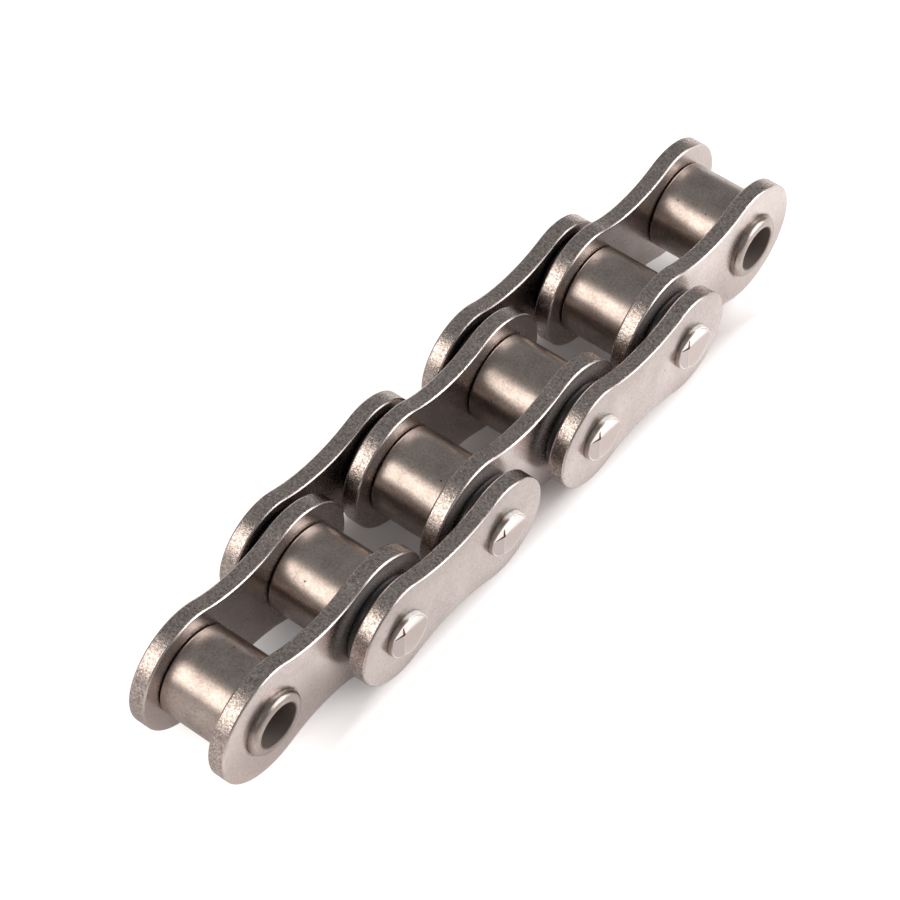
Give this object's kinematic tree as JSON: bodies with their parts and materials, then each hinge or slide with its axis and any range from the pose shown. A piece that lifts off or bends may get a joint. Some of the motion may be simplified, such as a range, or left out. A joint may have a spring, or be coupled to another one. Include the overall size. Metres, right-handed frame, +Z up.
{
  "type": "motorcycle chain",
  "caption": "Straight stretch of sealed roller chain: waisted inner and outer plates, free-turning rollers, staked pins, rubber rings between the plates, open bushings at both ends.",
  "frame": {"origin": "on the ground under the middle of the chain, at the bottom centre of its bounding box", "axes": "+X along the chain, Y along the pins with the front plates at -Y, +Z up"},
  "size_m": [0.1122, 0.0242, 0.017],
  "materials": {
    "inner_plate_steel": "satin steel with dark punched edges",
    "outer_plate_steel": "satin steel with dark punched edges",
    "roller_steel": "warm satin ground steel",
    "bushing_steel": "satin steel",
    "pin_steel": "bright staked steel",
    "seal_rubber": "glossy black, greased"
  },
  "bodies": {
    "inner_link_3": {"inner_plate_3_front": "inner_plate_steel", "inner_plate_3_back": "inner_plate_steel", "bushing_3": "bushing_steel", "bushing_4": "bushing_steel", "o_ring_3_front": "seal_rubber", "o_ring_3_back": "seal_rubber", "o_ring_4_front": "seal_rubber", "o_ring_4_back": "seal_rubber"},
    "outer_link_2": {"outer_plate_2_front": "outer_plate_steel", "outer_plate_2_back": "outer_plate_steel", "pin_2": "pin_steel", "pin_3": "pin_steel"},
    "outer_link_4": {"outer_plate_4_front": "outer_plate_steel", "outer_plate_4_back": "outer_plate_steel", "pin_4": "pin_steel", "pin_5": "pin_steel"},
    "inner_link_1": {"inner_plate_1_front": "inner_plate_steel", "inner_plate_1_back": "inner_plate_steel", "bushing_1": "bushing_steel", "bushing_2": "bushing_steel", "o_ring_2_front": "seal_rubber", "o_ring_2_back": "seal_rubber"},
    "inner_link_5": {"inner_plate_5_front": "inner_plate_steel", "inner_plate_5_back": "inner_plate_steel", "bushing_5": "bushing_steel", "bushing_6": "bushing_steel", "o_ring_5_front": "seal_rubber", "o_ring_5_back": "seal_rubber"},
    "roller_1": {"roller_1": "roller_steel"},
    "roller_2": {"roller_2": "roller_steel"},
    "roller_3": {"roller_3": "roller_steel"},
    "roller_4": {"roller_4": "roller_steel"},
    "roller_5": {"roller_5": "roller_steel"},
    "roller_6": {"roller_6": "roller_steel"}
  },
  "joints": [
    {"name": "pivot_3", "type": "hinge", "parent": "inner_link_3", "child": "outer_link_2", "pos_m": [-0.00953, 0, 0.0085], "axis": [0, 1, 0], "range_deg": [-60, 60]},
    {"name": "pivot_2", "type": "hinge", "parent": "outer_link_2", "child": "inner_link_1", "pos_m": [-0.02857, 0, 0.0085], "axis": [0, 1, 0], "range_deg": [-60, 60]},
    {"name": "pivot_4", "type": "hinge", "parent": "inner_link_3", "child": "outer_link_4", "pos_m": [0.00953, 0, 0.0085], "axis": [0, -1, 0], "range_deg": [-60, 60]},
    {"name": "pivot_5", "type": "hinge", "parent": "outer_link_4", "child": "inner_link_5", "pos_m": [0.02857, 0, 0.0085], "axis": [0, -1, 0], "range_deg": [-60, 60]},
    {"name": "roller_1_spin", "type": "hinge", "parent": "inner_link_1", "child": "roller_1", "pos_m": [-0.04763, 0, 0.0085], "axis": [0, 1, 0], "continuous": true},
    {"name": "roller_2_spin", "type": "hinge", "parent": "inner_link_1", "child": "roller_2", "pos_m": [-0.02857, 0, 0.0085], "axis": [0, 1, 0], "continuous": true},
    {"name": "roller_3_spin", "type": "hinge", "parent": "inner_link_3", "child": "roller_3", "pos_m": [-0.00953, 0, 0.0085], "axis": [0, 1, 0], "continuous": true},
    {"name": "roller_4_spin", "type": "hinge", "parent": "inner_link_3", "child": "roller_4", "pos_m": [0.00953, 0, 0.0085], "axis": [0, 1, 0], "continuous": true},
    {"name": "roller_5_spin", "type": "hinge", "parent": "inner_link_5", "child": "roller_5", "pos_m": [0.02857, 0, 0.0085], "axis": [0, 1, 0], "continuous": true},
    {"name": "roller_6_spin", "type": "hinge", "parent": "inner_link_5", "child": "roller_6", "pos_m": [0.04763, 0, 0.0085], "axis": [0, 1, 0], "continuous": true}
  ]
}
